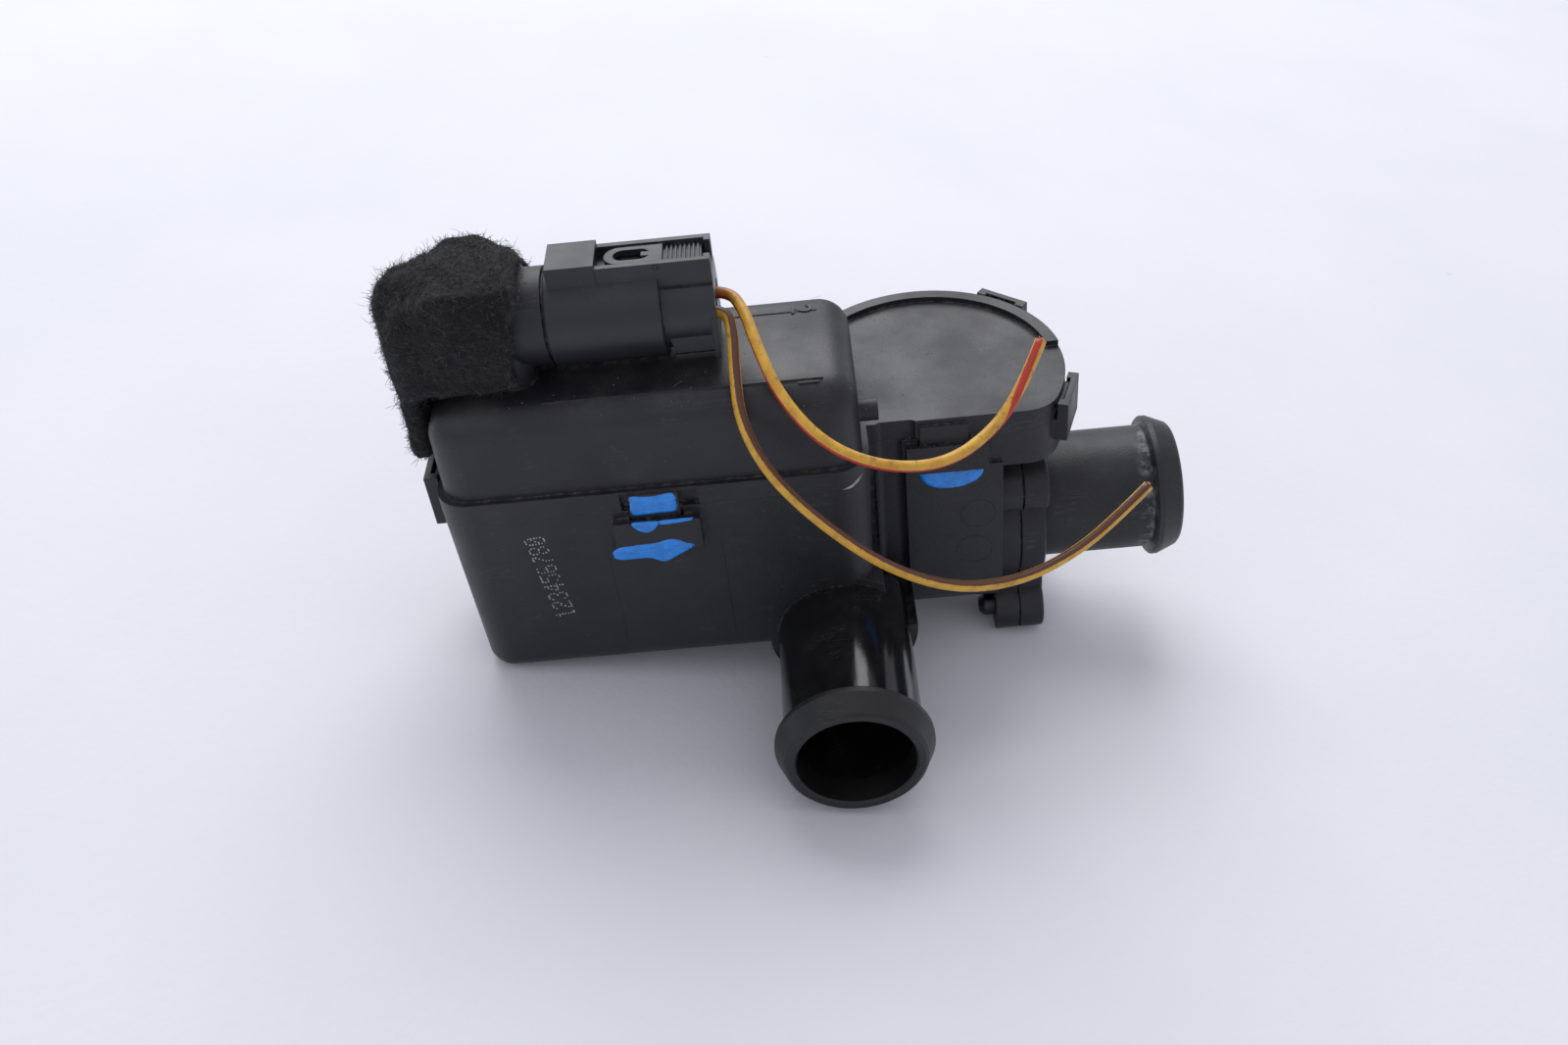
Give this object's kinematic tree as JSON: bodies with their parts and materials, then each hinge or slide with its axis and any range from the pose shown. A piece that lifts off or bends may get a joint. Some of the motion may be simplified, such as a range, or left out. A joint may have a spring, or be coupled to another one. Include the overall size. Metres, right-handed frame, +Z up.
{
  "type": "motorised coolant valve",
  "caption": "Geared motor head on a rotary coolant valve with flanged and plain hose spigots, felt-wrapped socket and a plug with cut wires.",
  "frame": {"origin": "outlet axis in the bolted joint plane between housing and outlet spigot", "axes": "+X out through the outlet, -Y out through the inlet, +Z up along the valve spindle"},
  "size_m": [0.1134, 0.0683, 0.08],
  "materials": {
    "housing_plastic": "glass-filled black plastic, satin on flat faces",
    "outlet_plastic": "glass-filled black plastic, dusty",
    "inlet_plastic": "polished black plastic with a matte bead",
    "plug_plastic": "fine satin black plastic",
    "seal_rubber": "black rubber",
    "black_steel": "black passivated screw steel",
    "bearing_brass": "machined brass",
    "axle_steel": "ground steel",
    "can_steel": "zinc plated sheet steel",
    "magnet_iron": "ferrite and laminated iron",
    "board_laminate": "green solder resist",
    "component_plastic": "dipped component bodies",
    "felt": "black needle felt",
    "wire_sheath_red_stripe": "yellow sheath with a red stripe",
    "wire_sheath_brown_stripe": "yellow sheath with a brown stripe",
    "rotor_plastic": "dark grey bearing plastic",
    "gear_plastic": "natural acetal"
  },
  "bodies": {
    "root": {"lower_housing": "housing_plastic", "top_cover": "housing_plastic", "outlet_spigot": "outlet_plastic", "inlet_spigot": "inlet_plastic", "flange_seal": "seal_rubber", "flange_screws": "black_steel", "valve_bottom_cap": "housing_plastic", "spindle_seal": "seal_rubber", "spindle_bush": "bearing_brass", "first_axle": "axle_steel", "second_axle": "axle_steel", "idler_axle": "axle_steel", "motor_can": "can_steel", "motor_end_cap": "plug_plastic", "motor_bush": "bearing_brass", "motor_magnets": "magnet_iron", "motor_damper": "seal_rubber", "circuit_board": "board_laminate", "suppression_parts": "component_plastic", "motor_leads": "bearing_brass", "socket_pins": "bearing_brass", "felt_wrap": "felt", "plug_shell": "plug_plastic", "plug_insert": "plug_plastic", "plug_seal": "seal_rubber", "plug_terminals": "bearing_brass", "wire_seals": "seal_rubber", "wire_red_stripe": "wire_sheath_red_stripe", "wire_brown_stripe": "wire_sheath_brown_stripe"},
    "valve": {"valve_rotor": "rotor_plastic", "valve_spindle": "axle_steel", "output_gear": "gear_plastic"},
    "idler": {"idler_gear": "gear_plastic"},
    "second_stage": {"second_gear": "gear_plastic"},
    "first_stage": {"first_gear": "gear_plastic"},
    "motor_rotor": {"motor_shaft": "axle_steel", "motor_armature": "magnet_iron", "motor_pinion": "bearing_brass"},
    "latch": {"plug_latch": "plug_plastic"}
  },
  "joints": [
    {"name": "motor_turn", "type": "hinge", "parent": "root", "child": "motor_rotor", "pos_m": [-0.0545, -0.0138, 0.02], "axis": [0, 0, 1], "range_deg": [0, 1728]},
    {"name": "first_gear_turn", "type": "hinge", "parent": "root", "child": "first_stage", "pos_m": [-0.042, -0.0138, 0.036], "axis": [0, 0, 1], "range_deg": [-432, 0]},
    {"name": "second_gear_turn", "type": "hinge", "parent": "root", "child": "second_stage", "pos_m": [-0.033, -0.0138, 0.03], "axis": [0, 0, 1], "range_deg": [0, 216]},
    {"name": "idler_turn", "type": "hinge", "parent": "root", "child": "idler", "pos_m": [-0.02705, -0.00627, 0.025], "axis": [0, 0, 1], "range_deg": [-154.3, 0]},
    {"name": "valve_turn", "type": "hinge", "parent": "root", "child": "valve", "pos_m": [-0.0132, 0, 0.025], "axis": [0, 0, 1], "range_deg": [0, 90]},
    {"name": "latch_press", "type": "hinge", "parent": "root", "child": "latch", "pos_m": [-0.0496, -0.0135, 0.05917], "axis": [0, 1, 0], "range_deg": [0, 5], "stiffness_Nm_per_rad": 0.02}
  ],
  "couplings": [
    {"joint": "first_gear_turn", "follows": "motor_turn", "ratio": -0.25},
    {"joint": "second_gear_turn", "follows": "motor_turn", "ratio": 0.125},
    {"joint": "idler_turn", "follows": "motor_turn", "ratio": -0.089286},
    {"joint": "valve_turn", "follows": "motor_turn", "ratio": 0.052083}
  ]
}
